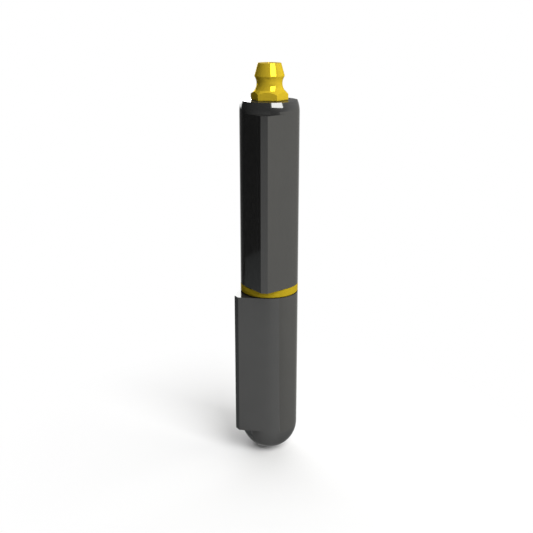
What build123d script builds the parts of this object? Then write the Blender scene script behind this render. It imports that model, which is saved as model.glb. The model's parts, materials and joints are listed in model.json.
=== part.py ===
from build123d import *
from math import acos, atan2, cos, hypot, radians, sin, sqrt, tan
import os

# Weld-on lift-off hinge, in millimetres. The pin stands along +Z.
# The origin is the middle of the lower leaf's weld lip, which faces -X.

# Leaves, cut from drop-shaped bar
barrel_diameter = 13.0
weld_reach = 8.85  # pin axis to the face of the weld lip
weld_lip_width = 1.5
lower_lip_length = 32.7  # bearing face to the start of the round end
upper_lip_length = 38.3  # bearing face to the step below the crown
crown_height = 2.4
leaf_turn = 49.0  # degrees from the lower lip to the upper lip, as the leaves stand at rest

# Pin and its bores
pin_diameter = 8.0
pin_press = 0.01  # overlap on each side in the lower leaf
pin_clearance = 0.05  # gap on each side in the upper leaf
pin_seat_depth = 20.0  # length held in the lower leaf
pin_reach = 26.0  # length standing in the upper leaf
pin_lead = 1.2  # bevel on the free end
pin_foot_bevel = 0.5
bore_mouth_bevel = 0.4
grease_pocket = 2.0  # room above the pin
drill_point_angle = 118.0

# Thrust washer
washer_thickness = 2.0
washer_clearance = 0.08  # gap on each side round the pin
washer_edge_break = 0.3

# Grease nipple, conical head on a hexagon; heights are above the crown's flat
thread_diameter = 6.0
thread_clearance = 0.02  # gap on each side in the tapped hole
thread_length = 5.5
thread_end_bevel = 0.6
tap_depth = 7.0
grease_hole_diameter = 3.0
hex_across_flats = 7.0
hex_height = 2.1
hex_chamfer_angle = 45.0
hex_foot_bevel = 0.15
collar_diameter = 6.4  # top of the hexagon's chamfer, where the neck starts
neck_diameter = 5.52
head_diameter = 6.5
head_base_height = 5.0
head_rim_round = 0.3
head_top_diameter = 5.0
nipple_height = 7.7

# Ball valve in the nipple
ball_diameter = 2.4
ball_clearance = 0.05  # gap on each side in the channel
ball_seat_gap = 0.03
mouth_diameter = 1.6
mouth_depth = 0.3
spring_wire_diameter = 0.3
spring_clearance = 0.05  # gap on each side in the channel
spring_ball_gap = 0.03
spring_pitch = 0.9
spring_seat_depth = 2.0  # below the crown's flat

# Radii
barrel_radius = barrel_diameter / 2
pin_radius = pin_diameter / 2
upper_bore_radius = pin_radius + pin_clearance
tap_radius = thread_diameter / 2 + thread_clearance
collar_radius = collar_diameter / 2
neck_radius = neck_diameter / 2
head_radius = head_diameter / 2
ball_radius = ball_diameter / 2
channel_radius = ball_radius + ball_clearance
mouth_radius = mouth_diameter / 2
wire_radius = spring_wire_diameter / 2
coil_radius = channel_radius - spring_clearance - wire_radius

# Heights along the pin, from the middle of the lower lip
round_end_z = -lower_lip_length / 2
lower_bearing_z = lower_lip_length / 2
upper_bearing_z = lower_bearing_z + washer_thickness
step_z = upper_bearing_z + upper_lip_length
crown_z = step_z + crown_height
pin_foot_z = lower_bearing_z - pin_seat_depth
pin_top_z = upper_bearing_z + pin_reach
nipple_top_z = crown_z + nipple_height
spring_seat_z = crown_z - spring_seat_depth
mouth_z = nipple_top_z - mouth_depth
ball_z = mouth_z - sqrt((ball_radius + ball_seat_gap) ** 2 - mouth_radius**2)
coil_foot_z = spring_seat_z + wire_radius
coil_top_z = ball_z - sqrt((ball_radius + wire_radius + spring_ball_gap) ** 2 - coil_radius**2)

pin_axis = Axis((weld_reach, 0, 0), (0, 0, 1))


def cross_plane(height, turn=0.0):
    """Plane across the pin at a height, with its X axis turned by turn degrees."""
    return Plane(
        origin=(weld_reach, 0, height),
        x_dir=(cos(radians(turn)), sin(radians(turn)), 0),
        z_dir=(0, 0, 1),
    )


def turning_plane(height):
    """Plane through the pin for turned profiles: X is the radius, Y the height above."""
    return Plane(origin=(weld_reach, 0, height), x_dir=(1, 0, 0), z_dir=(0, -1, 0))


def drop_section(seat):
    """Section of the leaves' bar: a barrel and two flats, tangent to it, that close on the weld lip."""
    half_lip = weld_lip_width / 2
    lip_angle = atan2(half_lip, weld_reach)
    tangent_angle = lip_angle + acos(barrel_radius / hypot(weld_reach, half_lip))
    tangent_x = -barrel_radius * cos(tangent_angle)
    tangent_y = barrel_radius * sin(tangent_angle)
    with BuildSketch(seat) as section:
        with BuildLine():
            Line((-weld_reach, half_lip), (-weld_reach, -half_lip))
            Line((-weld_reach, -half_lip), (tangent_x, -tangent_y))
            ThreePointArc((tangent_x, -tangent_y), (barrel_radius, 0), (tangent_x, tangent_y))
            Line((tangent_x, tangent_y), (-weld_reach, half_lip))
        make_face()
    return section.sketch


def drilled_bore(seat, bore_radius, depth):
    """Half section of a blind bore: a bevelled mouth at the seat, a wall and a drill point."""
    point_length = bore_radius / tan(radians(drill_point_angle / 2))
    with BuildSketch(seat) as section:
        with BuildLine():
            Polyline(
                (0, 0),
                (bore_radius + bore_mouth_bevel, 0),
                (bore_radius, bore_mouth_bevel),
                (bore_radius, depth),
                (0, depth + point_length),
                close=True,
            )
        make_face()
    return section.sketch


os.makedirs("parts", exist_ok=True)

# Lower leaf: drop bar with a half-round end, bored from its bearing face for the pin
with BuildPart() as lower_leaf:
    extrude(drop_section(cross_plane(round_end_z)), amount=lower_lip_length)
    with BuildSketch(turning_plane(round_end_z)):
        with BuildLine():
            Line((0, 0), (barrel_radius, 0))
            RadiusArc((barrel_radius, 0), (0, -barrel_radius), barrel_radius)
            Line((0, -barrel_radius), (0, 0))
        make_face()
    revolve(axis=pin_axis)
    bore_down = Plane(origin=(weld_reach, 0, lower_bearing_z), x_dir=(1, 0, 0), z_dir=(0, 1, 0))
    revolve(
        drilled_bore(bore_down, pin_radius - pin_press, pin_seat_depth),
        axis=pin_axis,
        mode=Mode.SUBTRACT,
    )
lower_leaf.part.label = "lower_leaf"
export_step(lower_leaf.part, "parts/lower_leaf.step")

# Upper leaf: the same bar with a rounded crown cut flat, bored from below and tapped from above
with BuildPart() as upper_leaf:
    extrude(drop_section(cross_plane(upper_bearing_z, leaf_turn)), amount=upper_lip_length)
    crown_radius = sqrt(barrel_radius**2 - crown_height**2)
    with BuildSketch(turning_plane(step_z)):
        with BuildLine():
            Line((0, 0), (barrel_radius, 0))
            RadiusArc((barrel_radius, 0), (crown_radius, crown_height), -barrel_radius)
            Line((crown_radius, crown_height), (0, crown_height))
            Line((0, crown_height), (0, 0))
        make_face()
    revolve(axis=pin_axis)
    revolve(
        drilled_bore(turning_plane(upper_bearing_z), upper_bore_radius, pin_reach + grease_pocket),
        axis=pin_axis,
        mode=Mode.SUBTRACT,
    )
    with Locations(cross_plane(crown_z)):
        CounterBoreHole(
            radius=grease_hole_diameter / 2,
            counter_bore_radius=tap_radius,
            counter_bore_depth=tap_depth,
            depth=crown_z - pin_top_z,
        )
upper_leaf.part.label = "upper_leaf"
export_step(upper_leaf.part, "parts/upper_leaf.step")

# Hinge pin: pressed into the lower leaf, with a lead on its free end
with BuildPart() as hinge_pin:
    with BuildSketch(cross_plane(pin_foot_z)):
        Circle(pin_radius)
    extrude(amount=pin_top_z - pin_foot_z)
    chamfer(hinge_pin.edges().group_by(Axis.Z)[-1], pin_lead)
    chamfer(hinge_pin.edges().group_by(Axis.Z)[0], pin_foot_bevel)
hinge_pin.part.label = "hinge_pin"
export_step(hinge_pin.part, "parts/hinge_pin.step")

# Thrust washer: a ring as wide as the barrel, its outer edges broken
with BuildPart() as thrust_washer:
    with BuildSketch(cross_plane(lower_bearing_z)):
        Circle(barrel_radius)
        Circle(pin_radius + washer_clearance, mode=Mode.SUBTRACT)
    extrude(amount=washer_thickness)
    rims = thrust_washer.edges().filter_by(GeomType.CIRCLE)
    chamfer(rims.group_by(SortBy.RADIUS)[-1], washer_edge_break)
thrust_washer.part.label = "thrust_washer"
export_step(thrust_washer.part, "parts/thrust_washer.step")

# Grease nipple: chamfered hexagon, hollow neck for the coupler's jaws, conical head, plain thread
with BuildPart() as grease_nipple:
    hex_corner_radius = hex_across_flats / sqrt(3)
    chamfer_foot_radius = collar_radius + hex_height / tan(radians(hex_chamfer_angle))
    neck_height = (hex_height + head_base_height) / 2
    with BuildSketch(cross_plane(crown_z, leaf_turn)):
        RegularPolygon(hex_corner_radius, 6, rotation=30)
    extrude(amount=hex_height)
    chamfer(grease_nipple.edges().group_by(Axis.Z)[0], hex_foot_bevel)
    with BuildSketch(turning_plane(crown_z)):
        with BuildLine():
            Polyline(
                (0, 0),
                (chamfer_foot_radius, 0),
                (collar_radius, hex_height),
                (0, hex_height),
                close=True,
            )
        make_face()
    revolve(axis=pin_axis, mode=Mode.INTERSECT)
    with BuildSketch(turning_plane(crown_z)) as head_section:
        with BuildLine():
            Line((0, hex_height), (collar_radius, hex_height))
            ThreePointArc(
                (collar_radius, hex_height), (neck_radius, neck_height), (head_radius, head_base_height)
            )
            Line((head_radius, head_base_height), (head_top_diameter / 2, nipple_height))
            Line((head_top_diameter / 2, nipple_height), (0, nipple_height))
            Line((0, nipple_height), (0, hex_height))
        make_face()
        fillet(head_section.vertices().group_by(Axis.Y)[1], head_rim_round)
    revolve(axis=pin_axis)
    with BuildSketch(cross_plane(crown_z)):
        Circle(thread_diameter / 2)
    extrude(amount=-thread_length)
    chamfer(grease_nipple.edges().group_by(Axis.Z)[0], thread_end_bevel)
    with Locations(cross_plane(nipple_top_z)):
        Hole(mouth_radius)
    with BuildSketch(cross_plane(spring_seat_z)):
        Circle(channel_radius)
    extrude(amount=mouth_z - spring_seat_z, mode=Mode.SUBTRACT)
grease_nipple.part.label = "grease_nipple"
export_step(grease_nipple.part, "parts/grease_nipple.step")

# Check ball: closes the nipple's mouth from inside
with BuildPart(cross_plane(ball_z)) as check_ball:
    Sphere(ball_radius)
check_ball.part.label = "check_ball"
export_step(check_ball.part, "parts/check_ball.step")

# Check spring: round wire coil between the channel's shoulder and the ball
with BuildPart() as check_spring:
    with BuildLine() as coil:
        Helix(
            pitch=spring_pitch,
            height=coil_top_z - coil_foot_z,
            radius=coil_radius,
            center=(weld_reach, 0, coil_foot_z),
        )
    with BuildSketch(Plane(origin=coil.line @ 0, z_dir=coil.line % 0)):
        Circle(wire_radius)
    sweep(path=coil.line, is_frenet=True)
check_spring.part.label = "check_spring"
export_step(check_spring.part, "parts/check_spring.step")
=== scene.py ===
"""Weld-on lift-off hinge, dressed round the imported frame.

The frame's solids show as they are and take a finish. Two pieces are made here: the grease nipple with its
thread, and the valve spring. A studio and a camera at the photograph's viewing angle stand round them.

Lengths in this file are millimetres unless a name says otherwise; meshes are written in metres.
"""
import json
import logging
import math
from dataclasses import dataclass
from enum import Enum
from typing import ClassVar

import bpy
import numpy as np
from mathutils import Matrix, Vector


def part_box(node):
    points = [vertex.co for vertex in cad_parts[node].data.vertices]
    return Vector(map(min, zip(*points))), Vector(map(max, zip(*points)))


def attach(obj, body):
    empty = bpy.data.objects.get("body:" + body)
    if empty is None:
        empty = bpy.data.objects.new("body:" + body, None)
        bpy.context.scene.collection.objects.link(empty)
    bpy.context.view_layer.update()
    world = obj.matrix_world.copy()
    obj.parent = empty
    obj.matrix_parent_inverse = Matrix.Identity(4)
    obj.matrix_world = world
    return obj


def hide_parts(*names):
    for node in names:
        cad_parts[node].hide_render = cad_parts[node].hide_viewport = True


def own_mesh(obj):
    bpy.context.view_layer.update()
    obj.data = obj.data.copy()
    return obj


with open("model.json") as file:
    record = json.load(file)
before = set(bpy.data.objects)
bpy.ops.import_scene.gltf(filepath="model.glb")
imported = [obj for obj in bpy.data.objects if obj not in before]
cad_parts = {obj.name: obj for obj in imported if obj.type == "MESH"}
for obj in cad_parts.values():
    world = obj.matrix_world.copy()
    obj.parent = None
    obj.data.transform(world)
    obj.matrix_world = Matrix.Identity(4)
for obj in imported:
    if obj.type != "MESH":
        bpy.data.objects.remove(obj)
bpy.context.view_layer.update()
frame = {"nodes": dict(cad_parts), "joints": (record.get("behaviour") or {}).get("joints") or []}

MM = 0.001
MICROMETRE = 0.001 * MM
LEVEL = np.array((1.0, 1.0, 0.0))
UPRIGHT = np.array((0.0, 0.0, 1.0))
LOG = logging.getLogger("weld_on_hinge")

Colour = tuple[float, float, float]
Socket = bpy.types.NodeSocket
Signal = Socket | float


def node_box_mm(node: str) -> tuple[np.ndarray, np.ndarray]:
    """Corners of a CAD node at rest.

    Args:
        node: Name of the node in the frame.

    Returns:
        Its lowest and highest corner, in millimetres.
    """
    low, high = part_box(node)
    return np.array(low) / MM, np.array(high) / MM


JOINTS = {joint["name"]: joint for joint in frame["joints"]}
PIN_AXIS = np.array(JOINTS["leaf_swing"]["pos_m"]) / MM * LEVEL
FLOOR_Z = node_box_mm("lower_leaf")[0][2]


class Lay(Enum):
    """Direction in which a tool left its marks on a surface."""

    ALONG_PIN = "along the pin, as on drawn bar"
    ROUND_PIN = "round the pin, as on turned and ground pieces"


class LampUse(Enum):
    """What a lamp does for the hinge."""

    LIGHT = "lights surfaces and stays out of their gloss"
    GLOSS = "shows in gloss and lights nothing"
    BOTH = "lights surfaces and shows in their gloss"


class Graph:
    """Adds nodes to a tree and joins them by socket name."""

    def __init__(self, tree: bpy.types.NodeTree) -> None:
        """Keep the tree that the nodes go into."""
        self.tree = tree

    def add(self, kind: str, **inputs: Signal | tuple) -> bpy.types.Node:
        """Add one node and set or join its inputs.

        Args:
            kind: Node type, such as ShaderNodeMath.
            **inputs: Values or output sockets by input name, with _ for a space.

        Returns:
            The new node.
        """
        node = self.tree.nodes.new(kind)
        for name, value in inputs.items():
            self.feed(node.inputs[name.replace("_", " ")], value)
        return node

    def feed(self, socket: Socket, value: Signal | tuple) -> None:
        """Join an output socket to an input, or set the input's own value.

        Args:
            socket: Input socket.
            value: Output socket to join to it, or the value to set.
        """
        if isinstance(value, Socket):
            self.tree.links.new(value, socket)
        else:
            socket.default_value = value

    def math(self, operation: str, first: Signal, second: Signal = 0.0) -> Socket:
        """Work out one number from two.

        Args:
            operation: Operation of the Math node.
            first: First operand.
            second: Second operand.

        Returns:
            Socket that carries the result.
        """
        node = self.tree.nodes.new("ShaderNodeMath")
        node.operation = operation
        self.feed(node.inputs[0], first)
        self.feed(node.inputs[1], second)
        return node.outputs[0]

    def mean(self, first: Signal, second: Signal) -> Socket:
        """Halve the sum of two values."""
        return self.math("MULTIPLY", self.math("ADD", first, second), 0.5)

    def from_pin(self, place: bpy.types.Node) -> Socket:
        """Measure Object coordinates from the pin axis.

        Args:
            place: Texture Coordinate node of the tree.

        Returns:
            Socket that carries the coordinates, in metres.
        """
        shift = tuple(-PIN_AXIS * MM)
        return self.add("ShaderNodeMapping", Vector=place.outputs["Object"], Location=shift).outputs[0]

    def spread(self, value: Signal, low: float, high: float) -> Socket:
        """Map a value from 0..1 onto low..high.

        Args:
            value: Signal between 0 and 1.
            low: Result at 0.
            high: Result at 1.

        Returns:
            Socket that carries the mapped value.
        """
        node = self.add("ShaderNodeMapRange", Value=value, To_Min=low, To_Max=high)
        return node.outputs["Result"]

    def blend(self, factor: Signal, first: Signal | tuple, second: Signal | tuple) -> Socket:
        """Blend two colours.

        Args:
            factor: Share of the second colour, 0 to 1.
            first: Colour at 0.
            second: Colour at 1.

        Returns:
            Socket that carries the blended colour.
        """
        node = self.tree.nodes.new("ShaderNodeMix")
        node.data_type = "RGBA"
        colour_inputs = [s for s in node.inputs if s.type == "RGBA"]
        self.feed(node.inputs["Factor"], factor)
        self.feed(colour_inputs[0], first)
        self.feed(colour_inputs[1], second)
        return next(s for s in node.outputs if s.type == "RGBA")


@dataclass
class SurfaceMarks:
    """Shader node group with the marks that making and handling leave on metal.

    Rings are noise read at (radius, height) from the pin axis, so they run round it. Streaks are noise
    with its third coordinate slowed, so they run along it. Clouds are slow noise in all directions.

    Attributes:
        name: Name of the group.
        slow_along: Speed of the streaks' noise along the pin, where 1 is as fast as across it.
        cloud_per_metre: Scale of the clouds.
        streak_detail: Finer layers of noise in the streaks.
        ring_detail: Finer layers in the rings.
        cloud_detail: Finer layers in the clouds.
        layer_share: Strength of each layer as a share of the one before it.
    """

    name: str = "surface_marks"
    slow_along: float = 0.012
    cloud_per_metre: float = 210.0
    streak_detail: float = 4.0
    ring_detail: float = 3.0
    cloud_detail: float = 3.0
    layer_share: float = 0.55

    def build(self) -> bpy.types.NodeTree:
        """Make the group once.

        Returns:
            The group, with outputs Streak, Ring and Cloud between 0 and 1.
        """
        tree = bpy.data.node_groups.new(self.name, "ShaderNodeTree")
        face = tree.interface
        face.new_socket("Vector", in_out="INPUT", socket_type="NodeSocketVector")
        face.new_socket("Marks per metre", in_out="INPUT", socket_type="NodeSocketFloat")
        for output in ("Streak", "Ring", "Cloud"):
            face.new_socket(output, in_out="OUTPUT", socket_type="NodeSocketFloat")
        graph = Graph(tree)
        inside = tree.nodes.new("NodeGroupInput").outputs
        outside = tree.nodes.new("NodeGroupOutput").inputs
        fine = inside["Marks per metre"]
        parts = graph.add("ShaderNodeSeparateXYZ", Vector=inside["Vector"])
        x, y, z = (parts.outputs[axis] for axis in "XYZ")
        slowed = graph.math("MULTIPLY", z, self.slow_along)
        along = graph.add("ShaderNodeCombineXYZ", X=x, Y=y, Z=slowed)
        squares = graph.math("ADD", graph.math("MULTIPLY", x, x), graph.math("MULTIPLY", y, y))
        radius = graph.math("SQRT", squares)
        round_pin = graph.add("ShaderNodeCombineXYZ", X=radius, Z=z)
        for output, vector, scale, detail in (
            ("Streak", along.outputs[0], fine, self.streak_detail),
            ("Ring", round_pin.outputs[0], fine, self.ring_detail),
            ("Cloud", inside["Vector"], self.cloud_per_metre, self.cloud_detail),
        ):
            noise = graph.add("ShaderNodeTexNoise", Vector=vector, Scale=scale, Detail=detail)
            noise.inputs["Roughness"].default_value = self.layer_share
            graph.feed(outside[output], noise.outputs["Fac"])
        return tree


@dataclass(frozen=True)
class MetalFinish:
    """Finish of a metal piece, with tool marks, a cloudy polish and turned end faces.

    Attributes:
        slot: Name of the record's material slot, which the finish's material is named after.
        dark: Linear colour where the polish is dullest.
        light: Linear colour where it is brightest.
        lay: Direction of the tool marks on the sides.
        roughness: Lowest and highest roughness.
        marks_per_mm: Fineness of the tool marks.
        mark_depth: Depth of the marks in micrometres.
        metallic: Share of the surface that reflects as bare metal.
        grazing: Share of the full reflection left at grazing angles.
        gloss: Strength of the clear reflection over the part that isn't bare metal.
        end_face: Share of a face's normal along the pin, past which it is an end face.
    """

    slot: str
    dark: Colour
    light: Colour
    lay: Lay
    roughness: tuple[float, float]
    marks_per_mm: float
    mark_depth: float
    metallic: float = 1.0
    grazing: float = 1.0
    gloss: float = 0.5
    end_face: float = 0.9

    def pattern(self, graph: Graph, marks: bpy.types.NodeTree) -> tuple[Socket, Socket]:
        """Lay the tool marks on the sides, and turned marks on the end faces.

        Args:
            graph: Tree of the material.
            marks: Node group of tool marks.

        Returns:
            Sockets that carry the tool marks and the clouds, each between 0 and 1.
        """
        place = graph.add("ShaderNodeTexCoord")
        group = graph.tree.nodes.new("ShaderNodeGroup")
        group.node_tree = marks
        graph.feed(group.inputs["Vector"], graph.from_pin(place))
        graph.feed(group.inputs["Marks per metre"], self.marks_per_mm / MM)
        normal = graph.add("ShaderNodeSeparateXYZ", Vector=place.outputs["Normal"])
        ends = graph.math("GREATER_THAN", graph.math("ABSOLUTE", normal.outputs["Z"]), self.end_face)
        side = group.outputs["Streak" if self.lay is Lay.ALONG_PIN else "Ring"]
        choose = graph.tree.nodes.new("ShaderNodeMix")
        for socket, value in zip(("Factor", "A", "B"), (ends, side, group.outputs["Ring"])):
            graph.feed(choose.inputs[socket], value)
        return choose.outputs[0], group.outputs["Cloud"]

    def material(self, marks: bpy.types.NodeTree) -> bpy.types.Material:
        """Make the material of the finish.

        Args:
            marks: Node group of tool marks.

        Returns:
            A node material with one Principled shader.
        """
        material = bpy.data.materials.new(f"{self.slot}_finish")
        material.use_nodes = True
        graph = Graph(material.node_tree)
        shader = next(n for n in material.node_tree.nodes if n.type == "BSDF_PRINCIPLED")
        mark, cloud = self.pattern(graph, marks)
        shade = graph.mean(mark, cloud)
        graph.feed(shader.inputs["Base Color"], graph.blend(shade, (*self.dark, 1.0), (*self.light, 1.0)))
        graph.feed(shader.inputs["Roughness"], graph.spread(cloud, *self.roughness))
        bump = graph.add("ShaderNodeBump", Height=mark, Distance=self.mark_depth * MICROMETRE, Strength=1.0)
        graph.feed(shader.inputs["Normal"], bump.outputs["Normal"])
        shader.inputs["Metallic"].default_value = self.metallic
        shader.inputs["Specular Tint"].default_value = (self.grazing, self.grazing, self.grazing, 1.0)
        shader.inputs["Specular IOR Level"].default_value = self.gloss
        return material


LEAF_STEEL = MetalFinish(
    slot="leaf_steel",
    dark=(0.076, 0.077, 0.076),
    light=(0.092, 0.092, 0.09),
    lay=Lay.ALONG_PIN,
    roughness=(0.05, 0.09),
    metallic=0.84,
    grazing=0.6,
    gloss=0.0,
    marks_per_mm=9.0,
    mark_depth=0.03,
)
PIN_STEEL = MetalFinish(
    slot="pin_steel",
    dark=(0.36, 0.36, 0.355),
    light=(0.5, 0.5, 0.49),
    lay=Lay.ROUND_PIN,
    roughness=(0.14, 0.24),
    marks_per_mm=12.0,
    mark_depth=0.3,
)
WASHER_BRASS = MetalFinish(
    slot="washer_brass",
    dark=(0.307, 0.22, 0.009),
    light=(0.352, 0.252, 0.0125),
    lay=Lay.ROUND_PIN,
    roughness=(0.08, 0.14),
    metallic=0.33,
    grazing=0.5,
    gloss=0.0,
    marks_per_mm=7.0,
    mark_depth=0.2,
)
NIPPLE_BRASS = MetalFinish(
    slot="nipple_brass",
    dark=(0.422, 0.301, 0.0165),
    light=(0.485, 0.345, 0.022),
    lay=Lay.ROUND_PIN,
    roughness=(0.05, 0.09),
    metallic=0.37,
    grazing=0.3,
    gloss=0.0,
    marks_per_mm=9.0,
    mark_depth=0.08,
)
BALL_STEEL = MetalFinish(
    slot="ball_steel",
    dark=(0.5, 0.5, 0.5),
    light=(0.62, 0.62, 0.615),
    lay=Lay.ROUND_PIN,
    roughness=(0.05, 0.1),
    marks_per_mm=14.0,
    mark_depth=0.05,
)
SPRING_STEEL = MetalFinish(
    slot="spring_steel",
    dark=(0.26, 0.26, 0.265),
    light=(0.38, 0.38, 0.38),
    lay=Lay.ALONG_PIN,
    roughness=(0.2, 0.32),
    marks_per_mm=10.0,
    mark_depth=0.3,
)


@dataclass
class CadPiece:
    """A piece whose CAD solid shows as it is and takes a finish.

    Attributes:
        node: CAD node of the piece.
        finish: Finish of all its faces.
    """

    node: str
    finish: MetalFinish

    def dress(self, marks: bpy.types.NodeTree) -> None:
        """Give the solid its finish.

        Args:
            marks: Node group of tool marks.
        """
        piece = frame["nodes"][self.node]
        piece.data.materials.clear()
        piece.data.materials.append(self.finish.material(marks))
        LOG.info("%s dressed as %s", self.node, self.finish.slot)


def tube_mesh(name: str, rings: np.ndarray) -> bpy.types.Mesh:
    """Turn rings of points along a wire into a closed mesh with a flat cap at each end.

    Args:
        name: Name of the mesh.
        rings: Array of rings by points by 3, in millimetres, with each ring running round the wire.

    Returns:
        The mesh, in metres, with faces that point outwards.
    """
    count, facets = rings.shape[:2]
    here = np.arange(count * facets).reshape(count, facets)
    beside = np.roll(here, -1, axis=1)
    sides = np.stack((here[:-1], beside[:-1], beside[1:], here[1:]), axis=-1).reshape(-1, 4)
    caps = [here[0, ::-1].tolist(), here[-1].tolist()]
    mesh = bpy.data.meshes.new(name)
    mesh.from_pydata((rings.reshape(-1, 3) * MM).tolist(), [], sides.tolist() + caps)
    mesh.polygons.foreach_set("use_smooth", np.arange(len(mesh.polygons)) < len(sides))
    mesh.update()
    return mesh


@dataclass
class ValveSpring:
    """Coil spring that holds the check ball up; it is wound at rest and does not shorten here.

    The centre of the wire is the helix (R cos a, R sin a, foot + pitch a / 2 pi), and the wire's skin is a
    circle in the plane across the helix.

    Attributes:
        node: CAD node that the coil stands for.
        body: Body that the coil's foot rests in.
        joint: Joint that shortens it; not used.
        wire_diameter: Thickness of the wire.
        pitch: Rise of one turn.
        steps_per_turn: Rings of points in one turn.
        facets: Points in one ring.
    """

    node: str = "check_spring"
    body: str = "door_leaf"
    joint: str = "ball_press"
    wire_diameter: float = 0.3
    pitch: float = 0.9
    steps_per_turn: int = 40
    facets: int = 12

    def rings(self) -> np.ndarray:
        """Carry the wire's circle along the helix.

        Returns:
            Array of rings by points by 3, in millimetres.
        """
        low, high = node_box_mm(self.node)
        wire = self.wire_diameter / 2
        coil = (high[0] - low[0]) / 2 - wire
        foot, top = low[2] + wire, high[2] - wire
        turns = (top - foot) / self.pitch
        angle = 2 * np.pi * np.linspace(0.0, turns, round(turns * self.steps_per_turn) + 1)
        out = np.stack([np.cos(angle), np.sin(angle), np.zeros_like(angle)], axis=-1)
        height = foot + self.pitch * angle / (2 * np.pi)
        centre = PIN_AXIS + coil * out + height[:, None] * UPRIGHT
        slope = self.pitch / (2 * np.pi * coil)
        along = np.stack([-out[:, 1], out[:, 0], np.full_like(angle, slope)], axis=-1)
        over = np.cross(along / math.hypot(1.0, slope), out)
        phase = 2 * np.pi * np.arange(self.facets) / self.facets
        circle = np.cos(phase)[:, None] * out[:, None] + np.sin(phase)[:, None] * over[:, None]
        return centre[:, None] + wire * circle

    def build(self, marks: bpy.types.NodeTree, finish: MetalFinish) -> bpy.types.Object:
        """Wind the coil and dress it.

        Args:
            marks: Node group of tool marks.
            finish: Finish of the wire.

        Returns:
            The coil object.
        """
        coil = bpy.data.objects.new("valve_spring", tube_mesh("valve_spring", self.rings()))
        coil.data.materials.append(finish.material(marks))
        bpy.context.scene.collection.objects.link(coil)
        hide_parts(self.node)
        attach(coil, self.body)
        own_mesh(coil)
        LOG.info("%s wound as %s", self.node, coil.name)
        return coil


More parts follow.
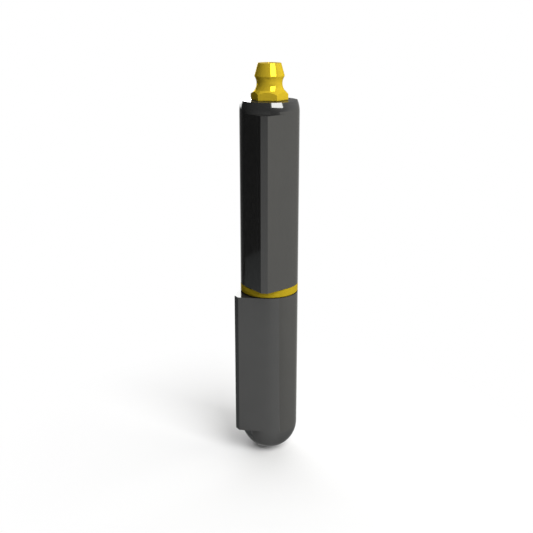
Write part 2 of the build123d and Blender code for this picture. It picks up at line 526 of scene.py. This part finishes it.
@dataclass
class ThreadedNipple:
    """Grease nipple: its CAD solid, with the plain shank cut as a thread.

    The thread is a profile of crest, flank, root and flank, carried along the helix that climbs one pitch in
    a turn. Its depth fades to nothing at both ends of the shank, where it meets the solid's own edges.

    Attributes:
        node: CAD node that the nipple stands for.
        body: Body that it is screwed into.
        shank_radius: Radius of the solid's plain shank, which is that of the crests.
        pitch: Rise of one turn.
        crest: Width of the flat crest, as a share of the pitch.
        root: Width of the flat root, as a share of the pitch.
        flank_angle: Degrees between a flank and the plane across the pin.
        run_out: Length over which the thread fades at each end.
        sharp_angle: Degrees between two faces, past which the edge between them is sharp.
        tolerance: Distance within which a point of the solid lies on the shank.
    """

    node: str = "grease_nipple"
    body: str = "door_leaf"
    shank_radius: float = 3.0
    pitch: float = 1.0
    crest: float = 0.125
    root: float = 0.25
    flank_angle: float = 30.0
    run_out: float = 0.6
    sharp_angle: float = 30.0
    tolerance: float = 0.002

    def solid(self) -> tuple[np.ndarray, np.ndarray, np.ndarray]:
        """Read the CAD solid.

        Returns:
            Its points in millimetres, its triangles as point numbers, and the normals at their corners.
        """
        solid = frame["nodes"][self.node].data
        points = np.empty((len(solid.vertices), 3), np.float32)
        faces = np.empty((len(solid.polygons), 3), np.int32)
        normals = np.empty((len(solid.polygons), 3, 3), np.float32)
        solid.vertices.foreach_get("co", points.ravel())
        solid.loops.foreach_get("vertex_index", faces.ravel())
        solid.corner_normals.foreach_get("vector", normals.ravel())
        return points / MM, faces, normals

    def on_shank(self, points: np.ndarray, faces: np.ndarray) -> np.ndarray:
        """Find the faces of the plain shank.

        Args:
            points: Corner points of the solid, in millimetres.
            faces: Its triangles, as point numbers.

        Returns:
            One truth value for each triangle.
        """
        radius = np.hypot(*(points - PIN_AXIS)[:, :2].T)
        near = np.abs(radius - self.shank_radius) < self.tolerance
        tall = np.ptp(points[faces][:, :, 2], axis=1) > self.pitch
        return near[faces].all(axis=1) & tall

    def shank_rings(self, corners: np.ndarray) -> tuple[np.ndarray, np.ndarray]:
        """Sort the corners of the plain shank into its two rings.

        Args:
            corners: Corner points of the shank's faces.

        Returns:
            The upper and the lower ring in the order of their turn, with the first point again at the end.
        """
        rim = np.unique(corners, axis=0)
        rim = rim[np.argsort(np.arctan2(*(rim - PIN_AXIS)[:, 1::-1].T))]
        middle = rim[:, 2].mean()
        top, foot = rim[rim[:, 2] > middle], rim[rim[:, 2] < middle]
        return np.vstack([top, top[:1]]), np.vstack([foot, foot[:1]])

    def thread(self, top: np.ndarray, foot: np.ndarray) -> np.ndarray:
        """Carry the profile down the shank between the solid's two rings.

        Args:
            top: Points of the upper ring in the order of their turn, with the first one again at the end.
            foot: Points of the lower ring in the same order.

        Returns:
            Array of rows by points by 3, where a row is one line of the profile over one turn.
        """
        flank = (1.0 - self.crest - self.root) / 2
        depth = flank * self.pitch / math.tan(math.radians(self.flank_angle))
        place = np.cumsum([0.0, self.crest, flank, self.root])
        sunk = np.array([0.0, 0.0, depth, depth])
        top_z, foot_z = top[0, 2], foot[0, 2]
        # Two turns to spare, so that the last row is past the foot all round
        turns = math.ceil((top_z - foot_z) / self.pitch) + 2
        drop = (np.arange(turns)[:, None] + place).reshape(-1, 1)
        out = (top - PIN_AXIS)[:, :2] / self.shank_radius
        angle = np.unwrap(np.arctan2(out[:, 1], out[:, 0]))
        height = top_z + self.pitch * ((angle - angle[0]) / (2 * np.pi) - drop)
        to_end = np.minimum(top_z - height, height - foot_z)
        fade = np.clip(to_end / self.run_out, 0.0, 1.0)
        radius = self.shank_radius - np.tile(sunk, turns)[:, None] * fade
        x, y = (PIN_AXIS[axis] + radius * out[:, axis] for axis in (0, 1))
        points = np.stack([x, y, height], axis=-1)
        points = np.where((height >= top_z)[..., None], top, points)
        return np.where((height <= foot_z)[..., None], foot, points)

    def mesh(self) -> bpy.types.Mesh:
        """Put the thread in the place of the solid's plain shank.

        Returns:
            The mesh, in metres, closed and with the solid's own shading outside the thread.
        """
        points, faces, normals = self.solid()
        shank = self.on_shank(points, faces)
        rows = self.thread(*self.shank_rings(points[faces[shank].ravel()]))
        here = len(points) + np.arange(rows.size // 3).reshape(rows.shape[:2])
        below, above = here[1:], here[:-1]
        lower = np.stack([below[:, :-1], below[:, 1:], above[:, 1:]], axis=-1).reshape(-1, 3)
        upper = np.stack([below[:, :-1], above[:, 1:], above[:, :-1]], axis=-1).reshape(-1, 3)
        faces = np.vstack([faces[~shank], lower, upper])
        # A normal of zero leaves the shading of a corner to the mesh
        normals = np.vstack([normals[~shank], np.zeros((len(lower) + len(upper), 3, 3))])
        # Adding zero turns -0 into 0, so that equal points merge
        every = np.vstack([points, rows.reshape(-1, 3)]).astype(np.float32) + np.float32(0.0)
        merged, number = np.unique(every, axis=0, return_inverse=True)
        faces = number.reshape(-1)[faces]
        whole = (faces != np.roll(faces, 1, axis=1)).all(axis=1)
        mesh = bpy.data.meshes.new("threaded_nipple")
        mesh.from_pydata((merged * MM).tolist(), [], faces[whole].tolist())
        mesh.polygons.foreach_set("use_smooth", np.ones(len(mesh.polygons), dtype=bool))
        mesh.set_sharp_from_angle(angle=math.radians(self.sharp_angle))
        mesh.normals_split_custom_set(normals[whole].reshape(-1, 3).tolist())
        mesh.update()
        return mesh

    def build(self, marks: bpy.types.NodeTree, finish: MetalFinish) -> bpy.types.Object:
        """Cut the thread and dress the nipple.

        Args:
            marks: Node group of tool marks.
            finish: Finish of the nipple.

        Returns:
            The nipple object.
        """
        nipple = bpy.data.objects.new("threaded_nipple", self.mesh())
        nipple.data.materials.append(finish.material(marks))
        bpy.context.scene.collection.objects.link(nipple)
        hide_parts(self.node)
        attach(nipple, self.body)
        LOG.info("%s threaded as %s", self.node, nipple.name)
        return nipple


@dataclass
class PhotoCamera:
    """Camera at the photograph's viewing angle.

    Attributes:
        place: Point that it stands at, in the CAD frame.
        target: Point that it looks at, in the CAD frame.
        lens: Focal length.
        sensor: Width of the sensor.
        near: Distance from which it sees things.
    """

    place: tuple[float, float, float] = (-93.671, -152.451, 78.686)
    target: tuple[float, float, float] = (8.321, 0.353, 21.824)
    lens: float = 57.405
    sensor: float = 36.0
    near: float = 10.0

    def build(self) -> bpy.types.Object:
        """Set up the scene's camera.

        Returns:
            The camera object.
        """
        data = bpy.data.cameras.new("photo_camera")
        data.lens = self.lens
        data.sensor_width = self.sensor
        data.sensor_fit = "HORIZONTAL"
        data.clip_start = self.near * MM
        camera = bpy.data.objects.new("photo_camera", data)
        away = Vector(self.place) - Vector(self.target)
        aim = away.to_track_quat("Z", "Y").to_matrix().to_4x4()
        camera.matrix_world = Matrix.Translation(Vector(self.place) * MM) @ aim
        bpy.context.scene.collection.objects.link(camera)
        bpy.context.scene.camera = camera
        return camera

    def bearing(self) -> float:
        """Angle about the pin at which the camera stands, in radians."""
        return math.atan2(self.place[1] - PIN_AXIS[1], self.place[0] - PIN_AXIS[0])


@dataclass(frozen=True)
class SoftBox:
    """Upright area lamp that faces the pin.

    Attributes:
        name: Name of the lamp.
        bearing: Degrees round the pin from the camera, towards the right of its picture.
        half_width: Half of the width seen from the pin, in degrees.
        rise: Lowest and highest edge seen from the hinge's middle, in degrees above level.
        distance: Distance from the pin.
        radiance: Brightness of its face, where 1 shows as white.
        swivel: Degrees that its face is turned about the upright, away from the pin.
        colour: Linear colour of the light.
        use: Whether it lights the hinge, shows in its gloss, or both.
    """

    name: str
    bearing: float
    half_width: float
    rise: tuple[float, float]
    distance: float
    radiance: float
    swivel: float = 0.0
    colour: Colour = (1.0, 1.0, 1.0)
    use: LampUse = LampUse.BOTH

    def build(self, camera_bearing: float, middle: float) -> bpy.types.Object:
        """Hang the lamp.

        Args:
            camera_bearing: Angle of the camera about the pin, in radians.
            middle: Height of the hinge's middle.

        Returns:
            The lamp object.
        """
        turn = camera_bearing + math.radians(self.bearing)
        away = Vector((math.cos(turn), math.sin(turn), 0.0))
        foot, top = (middle + self.distance * math.tan(math.radians(edge)) for edge in self.rise)
        data = bpy.data.lights.new(self.name, "AREA")
        data.shape = "RECTANGLE"
        data.size = 2 * self.distance * MM * math.tan(math.radians(self.half_width))
        data.size_y = (top - foot) * MM
        data.energy = self.radiance * math.pi * data.size * data.size_y
        data.color = self.colour
        lamp = bpy.data.objects.new(self.name, data)
        place = Vector(PIN_AXIS) + away * self.distance + Vector((0.0, 0.0, (foot + top) / 2))
        aim = away.to_track_quat("Z", "Y").to_matrix().to_4x4()
        turned = Matrix.Rotation(math.radians(self.swivel), 4, "Z") @ aim
        lamp.matrix_world = Matrix.Translation(place * MM) @ turned
        lamp.visible_camera = False
        lamp.visible_glossy = self.use is not LampUse.LIGHT
        lamp.visible_diffuse = self.use is not LampUse.GLOSS
        bpy.context.scene.collection.objects.link(lamp)
        return lamp


def grid_mesh(name: str, points: np.ndarray) -> bpy.types.Mesh:
    """Turn a grid of points into a mesh of four-sided faces.

    Args:
        name: Name of the mesh.
        points: Array of rows by columns by 3, in millimetres.

    Returns:
        The mesh, in metres.
    """
    rows, columns = points.shape[:2]
    index = np.arange(rows * columns).reshape(rows, columns)
    corners = (index[:-1, :-1], index[:-1, 1:], index[1:, 1:], index[1:, :-1])
    quads = np.stack(corners, axis=-1).reshape(-1, 4)
    mesh = bpy.data.meshes.new(name)
    mesh.from_pydata((points.reshape(-1, 3) * MM).tolist(), [], quads.tolist())
    mesh.update()
    return mesh


@dataclass(frozen=True)
class PaintedReflectionCard:
    """Curved glowing card round the hinge that paints reflections: it shows only in gloss and lights
    nothing.

    The card sweeps a broken line of (distance from the pin, height above the floor) points about the pin.
    Its brightness is given at every point of the line for some bearings, and runs straight between them.

    Attributes:
        name: Name of the card.
        line: Points of the line from the foot to the top.
        shades: Bearings, counted as those of a soft box, each with the brightness at the line's points.
        rise_per_degree: Slope of the upper edge, from the first bearing.
        tint: Linear colour of the card.
        columns: Columns of points from the first bearing to the last.
    """

    name: str
    line: tuple[tuple[float, float], ...]
    shades: tuple[tuple[float, tuple[float, ...]], ...]
    rise_per_degree: float = 0.0
    tint: Colour = (1.0, 1.0, 1.0)
    columns: int = 97

    def build(self, camera_bearing: float) -> bpy.types.Object:
        """Stand the card on the stage.

        Args:
            camera_bearing: Angle of the camera about the pin, in radians.

        Returns:
            The card object.
        """
        bearings = np.array([bearing for bearing, _ in self.shades])
        levels = np.array([values for _, values in self.shades])
        u = np.linspace(bearings[0], bearings[-1], self.columns)[:, None]
        turn = camera_bearing + np.radians(u)
        reach, height = np.array(self.line).T
        share = np.linspace(0.0, 1.0, len(self.line))
        height = FLOOR_Z + height + self.rise_per_degree * (u - bearings[0]) * share
        x = PIN_AXIS[0] + reach * np.cos(turn)
        y = PIN_AXIS[1] + reach * np.sin(turn)
        points = np.stack([x, y, height], axis=-1)
        glow = np.stack([np.interp(u[:, 0], bearings, level) for level in levels.T], axis=-1)
        mesh = grid_mesh(self.name, points)
        mesh.attributes.new("glow", "FLOAT", "POINT").data.foreach_set("value", glow.ravel())
        mesh.materials.append(self.material())
        card = bpy.data.objects.new(self.name, mesh)
        bpy.context.scene.collection.objects.link(card)
        for hidden in ("camera", "diffuse", "shadow", "transmission", "volume_scatter"):
            setattr(card, f"visible_{hidden}", False)
        return card

    def material(self) -> bpy.types.Material:
        """Make the card's material, which glows by the mesh's brightness.

        Returns:
            A node material that glows evenly in all directions.
        """
        material = bpy.data.materials.new(self.name)
        material.use_nodes = True
        material.node_tree.nodes.clear()
        graph = Graph(material.node_tree)
        shade = graph.tree.nodes.new("ShaderNodeAttribute")
        shade.attribute_name = "glow"
        light = graph.add("ShaderNodeEmission", Color=(*self.tint, 1.0), Strength=shade.outputs["Fac"])
        graph.add("ShaderNodeOutputMaterial", Surface=light.outputs[0])
        return material


@dataclass
class Studio:
    """Pale floor, soft boxes, cards and an even surround.

    Attributes:
        floor_half_side: Half of the floor's side.
        floor_colour: Linear colour of the floor where it is seen.
        floor_bounce: Linear colour by which it throws light up.
        plain_within: Distance from the pin within which the floor is all paint.
        white_from: Distance from the pin at which it has faded into white.
        surround: Strength of the surround as a light, where 1 is white.
        middle: Height of the hinge's middle, from which the soft boxes' rise is taken.
        LAMPS: Soft boxes.
        CARDS: Glowing cards that paint reflections, painted floor shade among them.
    """

    floor_half_side: float = 4000.0
    floor_colour: Colour = (0.565, 0.565, 0.565)
    floor_bounce: Colour = (0.3, 0.3, 0.3)
    plain_within: float = 6.0
    white_from: float = 64.0
    surround: float = 0.12
    middle: float = 22.0

    LAMPS: ClassVar[tuple[SoftBox, ...]] = (
        SoftBox(
            name="key_box",
            bearing=33.0,
            half_width=23.0,
            rise=(18.5, 66.0),
            distance=600.0,
            radiance=10.6,
            swivel=-11.0,
        ),
        SoftBox(
            name="rim_box",
            bearing=-164.4,
            half_width=14.4,
            rise=(3.0, 27.0),
            distance=500.0,
            radiance=10.0,
            use=LampUse.GLOSS,
        ),
        SoftBox(
            name="fill_box",
            bearing=98.0,
            half_width=28.0,
            rise=(2.0, 40.0),
            distance=400.0,
            radiance=4.2,
            colour=(1.0, 0.99, 0.95),
            use=LampUse.LIGHT,
        ),
        SoftBox(
            name="back_box",
            bearing=-177.0,
            half_width=46.0,
            rise=(8.0, 50.0),
            distance=500.0,
            radiance=4.0,
            use=LampUse.LIGHT,
        ),
    )
    CARDS: ClassVar[tuple[PaintedReflectionCard, ...]] = (
        # Painted reflection: a dark glowing sheet on the left, seen only in gloss, darkest near bearing -110
        # and lighter towards the front.
        PaintedReflectionCard(
            name="left_wall",
            line=((85.0, 0.05), (85.0, 64.85), (85.0, 90.85), (85.0, 192.85)),
            shades=(
                (-150.0, (0.42, 0.42, 0.42, 0.36)),
                (-138.0, (0.26, 0.24, 0.2, 0.15)),
                (-126.0, (0.13, 0.11, 0.1, 0.1)),
                (-116.0, (0.06, 0.03, 0.06, 0.06)),
                (-104.0, (0.06, 0.03, 0.065, 0.06)),
                (-66.0, (0.35, 0.2, 0.115, 0.1)),
                (-36.0, (0.7, 0.36, 0.14, 0.1)),
                (-15.0, (0.83, 0.46, 0.13, 0.1)),
                (4.0, (0.86, 0.48, 0.12, 0.1)),
            ),
        ),
        # Painted floor shadow on the left: a dim glowing strip near the floor, seen only in gloss.
        PaintedReflectionCard(
            name="left_shadow_skirt",
            line=((8.0, 0.15), (44.0, -0.05), (80.0, -0.25)),
            shades=((-140.0, (0.46, 0.4, 0.18)), (-60.0, (0.46, 0.4, 0.18))),
            rise_per_degree=0.78,
            tint=(0.95, 1.0, 1.02),
        ),
        # Painted reflection of the floor in front, with painted shade that dims it near the hinge towards
        # the left.
        PaintedReflectionCard(
            name="front_apron",
            line=((14.0, 0.13), (24.0, 0.15), (250.0, 0.25)),
            shades=(
                (-60.0, (0.44, 0.62, 0.82)),
                (-45.0, (0.42, 0.62, 0.82)),
                (-34.0, (0.56, 0.72, 0.82)),
                (-18.0, (0.78, 0.83, 0.81)),
                (0.0, (0.85, 0.89, 0.86)),
                (37.0, (0.98, 1.02, 0.92)),
            ),
        ),
        # Painted contact shadow: dim glow round the foot that shows the floor darker next to the hinge in
        # its gloss.
        PaintedReflectionCard(
            name="contact_shadow_ring",
            line=((2.0, 0.07), (9.0, 0.09), (14.0, 0.11)),
            shades=(
                (-62.0, (0.6, 0.54, 0.46)),
                (-45.0, (0.62, 0.57, 0.47)),
                (-34.0, (0.66, 0.64, 0.6)),
                (-22.0, (0.69, 0.73, 0.73)),
                (0.0, (0.73, 0.83, 0.87)),
                (20.0, (0.71, 0.89, 0.95)),
                (42.0, (0.64, 0.78, 0.9)),
                (67.0, (0.63, 0.78, 0.88)),
                (150.0, (0.6, 0.8, 0.95)),
            ),
        ),
        PaintedReflectionCard(
            name="right_wall",
            line=((14.0, 0.25), (100.0, 82.85)),
            shades=((37.0, (0.82, 0.9)), (60.0, (0.92, 1.0)), (95.0, (1.0, 1.02)), (150.0, (1.0, 1.05))),
            tint=(1.02, 1.0, 0.95),
        ),
        PaintedReflectionCard(
            name="front_curtain",
            line=((300.0, 62.85), (300.0, 122.85), (300.0, 190.35)),
            shades=(
                (4.0, (0.12, 0.12, 0.13)),
                (16.0, (0.13, 0.18, 0.28)),
                (28.0, (0.17, 0.22, 0.32)),
                (46.0, (0.36, 0.42, 0.46)),
                (58.0, (0.5, 0.5, 0.5)),
            ),
            rise_per_degree=-0.636,
        ),
        # Painted highlight: a bright glowing strip that carries the rim lamp's reflection above the left
        # wall.
        PaintedReflectionCard(
            name="rim_highlight_card",
            line=((80.0, 78.35), (80.0, 90.85)),
            shades=((-152.0, (7.0, 7.0)), (-134.0, (7.0, 7.0))),
        ),
        PaintedReflectionCard(
            name="right_curtain",
            line=((300.0, 62.85), (300.0, 222.85)),
            shades=((58.0, (0.5, 0.5)), (90.0, (0.83, 0.83)), (125.0, (1.06, 1.06)), (150.0, (1.1, 1.1))),
        ),
        PaintedReflectionCard(
            name="back_card",
            line=((300.0, 82.85), (300.0, 147.85)),
            shades=((160.0, (0.28, 0.28)), (181.3, (0.28, 0.28))),
        ),
    )

    def build(self, camera: PhotoCamera) -> None:
        """Put up the floor, the lamps, the cards and the surround.

        Args:
            camera: Camera that the bearings are counted from.
        """
        scene = bpy.context.scene
        scene.view_settings.view_transform = "Standard"
        self.lay_floor()
        self.light_surround()
        bearing = camera.bearing()
        for lamp in self.LAMPS:
            lamp.build(bearing, self.middle)
        for card in self.CARDS:
            card.build(bearing)
        LOG.info("studio has %d lamps and %d cards", len(self.LAMPS), len(self.CARDS))

    def background_rays(self, graph: Graph) -> Socket:
        """Tell rays that look at the background from those that gather light.

        Args:
            graph: Tree that the nodes go into.

        Returns:
            Socket that is 1 for camera, glossy and transmission rays.
        """
        path = graph.add("ShaderNodeLightPath").outputs
        seen = graph.math("MAXIMUM", path["Is Camera Ray"], path["Is Glossy Ray"])
        return graph.math("MAXIMUM", seen, path["Is Transmission Ray"])

    def lay_floor(self) -> None:
        """Lay a square floor at the height of the hinge's lower end, facing up."""
        side = np.array([-self.floor_half_side, self.floor_half_side])
        x, y = np.meshgrid(side, side[::-1], indexing="ij")
        points = np.stack([PIN_AXIS[0] + x, PIN_AXIS[1] + y, np.full_like(x, FLOOR_Z)], axis=-1)
        floor = bpy.data.objects.new("floor", grid_mesh("floor", points))
        floor.data.materials.append(self.floor_material())
        bpy.context.scene.collection.objects.link(floor)

    def floor_material(self) -> bpy.types.Material:
        """Make a pale paint that throws little light up and fades into plain white far out.

        Returns:
            A node material that mixes paint and a white glow by the distance from the pin.
        """
        material = bpy.data.materials.new("pale_floor")
        material.use_nodes = True
        material.node_tree.nodes.clear()
        graph = Graph(material.node_tree)
        flat = graph.tree.nodes.new("ShaderNodeVectorMath")
        flat.operation = "MULTIPLY"
        graph.feed(flat.inputs[0], graph.from_pin(graph.add("ShaderNodeTexCoord")))
        graph.feed(flat.inputs[1], tuple(LEVEL))
        reach = graph.tree.nodes.new("ShaderNodeVectorMath")
        reach.operation = "LENGTH"
        graph.feed(reach.inputs[0], flat.outputs[0])
        fade = graph.add(
            "ShaderNodeMapRange",
            Value=reach.outputs["Value"],
            From_Min=self.plain_within * MM,
            From_Max=self.white_from * MM,
        )
        seen = self.background_rays(graph)
        white = graph.math("MULTIPLY", fade.outputs["Result"], seen)
        colour = graph.blend(seen, (*self.floor_bounce, 1.0), (*self.floor_colour, 1.0))
        paint = graph.add("ShaderNodeBsdfDiffuse", Color=colour)
        glow = graph.add("ShaderNodeEmission")
        mix = graph.tree.nodes.new("ShaderNodeMixShader")
        for socket, value in zip(mix.inputs, (white, paint.outputs[0], glow.outputs[0])):
            graph.feed(socket, value)
        graph.add("ShaderNodeOutputMaterial", Surface=mix.outputs[0])
        return material

    def light_surround(self) -> None:
        """Make the surround white to look at and dimmer as a light."""
        world = bpy.data.worlds.new("even_surround")
        world.use_nodes = True
        bpy.context.scene.world = world
        graph = Graph(world.node_tree)
        sky = next(n for n in world.node_tree.nodes if n.type == "BACKGROUND")
        sky.inputs["Color"].default_value = (1.0, 1.0, 1.0, 1.0)
        graph.feed(sky.inputs["Strength"], graph.spread(self.background_rays(graph), self.surround, 1.0))


def main() -> None:
    """Dress every piece, then set the studio and the camera."""
    logging.basicConfig(level=logging.INFO, format="%(name)s: %(message)s")
    marks = SurfaceMarks().build()
    pieces = (
        CadPiece("lower_leaf", LEAF_STEEL),
        CadPiece("upper_leaf", LEAF_STEEL),
        CadPiece("hinge_pin", PIN_STEEL),
        CadPiece("thrust_washer", WASHER_BRASS),
        CadPiece("check_ball", BALL_STEEL),
    )
    for piece in pieces:
        piece.dress(marks)
    ThreadedNipple().build(marks, NIPPLE_BRASS)
    ValveSpring().build(marks, SPRING_STEEL)
    camera = PhotoCamera()
    camera.build()
    Studio().build(camera)


if __name__ == "__main__":
    main()
